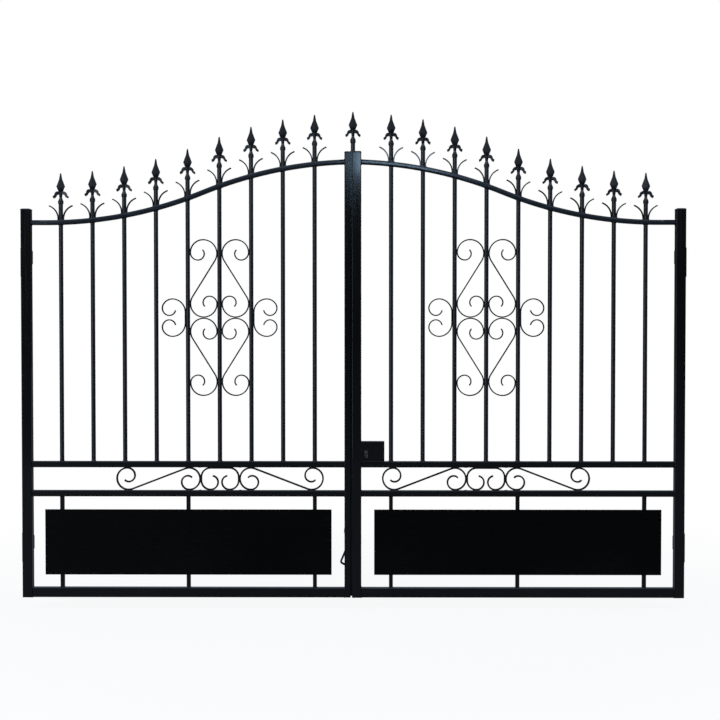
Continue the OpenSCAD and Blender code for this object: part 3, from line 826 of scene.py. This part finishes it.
# The short bar takes the bars' enamel, with its painted sheen of sky reflection.
dress("centre_spear_bar", bar_enamel_sky_sheen, edge=0.0004, shaped=swelled)
dress("centre_spear", cast_enamel, edge=0.0016, shaped=filed)
low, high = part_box("cover_strip")
bar_low, bar_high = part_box("centre_spear_bar")
mid_x, mid_y = (bar_low.x + bar_high.x) / 2, (bar_low.y + bar_high.y) / 2
stile_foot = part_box("right_meeting_stile")[0].z
stitch, first_stitch, stitch_pitch, stitch_count = 0.04, 0.02, 0.2, 9
stitch_starts = [stile_foot + first_stitch + stitch_pitch * i for i in range(stitch_count)]
stitches = [
    [(x, low.y, z), (x, low.y, z + stitch)]
    for x in (gap_faces["right"], high.x) for z in stitch_starts]
weld("cover_strip_welds", stitches, radius=0.002, body="right_leaf", seed=81)
bead_out, bead_inset = 0.0048, 0.004
spear_beads = [
    [(x, high.y, bar_low.z + bead_inset), (x, high.y, high.z - bead_inset)]
    for x in (mid_x - bead_out, mid_x + bead_out)]
spear_beads.append(ring(mid_x, mid_y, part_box("centre_spear")[0].z, spear_foot_radius))
weld("centre_spear_welds", spear_beads, radius=0.0026, body="right_leaf", seed=82)


# Drop bolt: a round rod with a bent handle that slides in two guides on the back of the
# left meeting stile. The paint is rubbed to bright steel where it runs in the guides.
guide_height, bolt_travel = 0.018, 0.09
fade_below, fade_above = 0.03, 0.04
rod_finish = Finish("rubbed_rod")
height = rod_finish.along(rod_finish.place, "Z")
scuff = rod_finish.noise(140, 4, (1, 1, 0.12))
low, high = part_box("drop_bolt_guides")
rubs = [
    height.rise(z - fade_below, z)
    * (1 - height.rise(z + bolt_travel, z + bolt_travel + fade_above))
    for z in (low.z, high.z - guide_height)]
bright = ((rubs[0] + rubs[1]) * 0.9 + 0.1) * scuff.rise(0.46, 0.6)
rod_finish.surface(
    Base_Color=rod_finish.blend(bright, (0.009, 0.0095, 0.011), (0.34, 0.33, 0.31)),
    Roughness=0.28 + 0.2 * scuff,
    Metallic=bright,
    Normal=rod_finish.relief(scuff, 0.2, 0.0003))
dress("drop_bolt", rod_finish.material, edge=0.0014)
dress("drop_bolt_guides", gate_enamel, edge=0.0008)
beads = [
    [(x, low.y, low.z), (x, low.y, high.z)]
    for low, high in solids("drop_bolt_guides") for x in (low.x, high.x)]
weld("drop_bolt_guide_welds", beads, radius=0.0016, body="left_leaf", seed=91)


# Ground and light: a plain white floor below the gate, pale all round, with a soft key from
# the upper left, a weaker fill from the right, a cool panel overhead, a tall one on the left that
# draws a line down each bar, and a small blue one that the meeting stiles mirror near their tops.
mirrored_share = 0.02


def pale(finish, bright):
    """Shows a bright shader to the camera and, by a small share, to reflections."""
    rays = [
        finish.node("ShaderNodeLightPath", out=kind + " Ray")
        for kind in ("Is Camera", "Is Glossy", "Is Transmission")]
    seen = rays[0].over(rays[1] * mirrored_share).over(rays[2])
    dim = Dab(finish, finish.shader.outputs[0])
    mixed = finish.node("ShaderNodeMixShader", {}, {0: seen, 1: dim, 2: bright})
    finish.feed(finish.end.inputs[0], mixed)


clearance = 0.05
ground_z = cad_box[0].z - clearance
floor_mesh = bpy.data.meshes.new("ground")
floor_mesh.from_pydata(
    [(x, y, ground_z) for x, y in ((-30, -30), (33, -30), (33, 30), (-30, 30))], [], [(0, 1, 2, 3)])
floor = placed("ground", floor_mesh)
white = Finish("white_ground")
white.surface(Base_Color=(0.1, 0.1, 0.1, 1), Roughness=0.9)
shaded = white.node("ShaderNodeBsdfDiffuse", {}, {"Color": (0.8, 0.8, 0.8, 1)})
away = white.node(
    "ShaderNodeVectorMath", {"operation": "DISTANCE"},
    {0: white.place, 1: (opening_width / 2, -0.2, ground_z)}, out="Value")
pale(white, white.node("ShaderNodeMixShader", {}, {
    0: away.rise(1.0, 3.6, start=0.9), 1: shaded, 2: white.node("ShaderNodeEmission")}))
floor_mesh.materials.append(white.material)

bpy.context.scene.world = bpy.data.worlds.new("pale_studio")
sky = Finish("pale_studio", world=bpy.context.scene.world)
dusk, day = (0.09, (0.03, 0.032, 0.036)), (0.18, (0.42, 0.55, 0.75))
sky.surface(
    Color=sky.node("ShaderNodeValToRGB", {"stops": (dusk, day)}, {0: sky.along(sky.place, "Z")}),
    Strength=sky.along(sky.place, "Y").rise(-0.7, 0.0, start=1.0, end=0.45))
pale(sky, sky.node("ShaderNodeBackground", {}, {"Color": (1, 1, 1, 1)}))

middle = (cad_box[0] + cad_box[1]) / 2
for name, place, size, power, tone in (
        ("key_light", (-4.2, -4.0, 6.0), (2.4, 2.4), 220, (1, 0.99, 0.97)),
        ("fill_light", (6.6, -4.0, 5.0), (2.6, 2.6), 110, (0.95, 0.97, 1)),
        ("overhead_light", (1.4, 0.6, 5.2), (4.0, 4.0), 60, (0.86, 0.93, 1)),
        ("tall_light", (-2.6, -5.4, 1.3), (1.3, 3.4), 60, (0.78, 0.88, 1)),
        ("sky_panel", (1.7, -5.9, 2.29), (0.74, 0.25), 7, (0.48, 0.74, 1))):
    lamp = bpy.data.lights.new(name, "AREA")
    lamp.shape = "RECTANGLE"
    lamp.size, lamp.size_y = size
    lamp.energy = power
    lamp.color = tone
    holder = placed(name, lamp)
    holder.location = place
    holder.rotation_euler = (middle - Vector(place)).to_track_quat("-Z", "Y").to_euler()
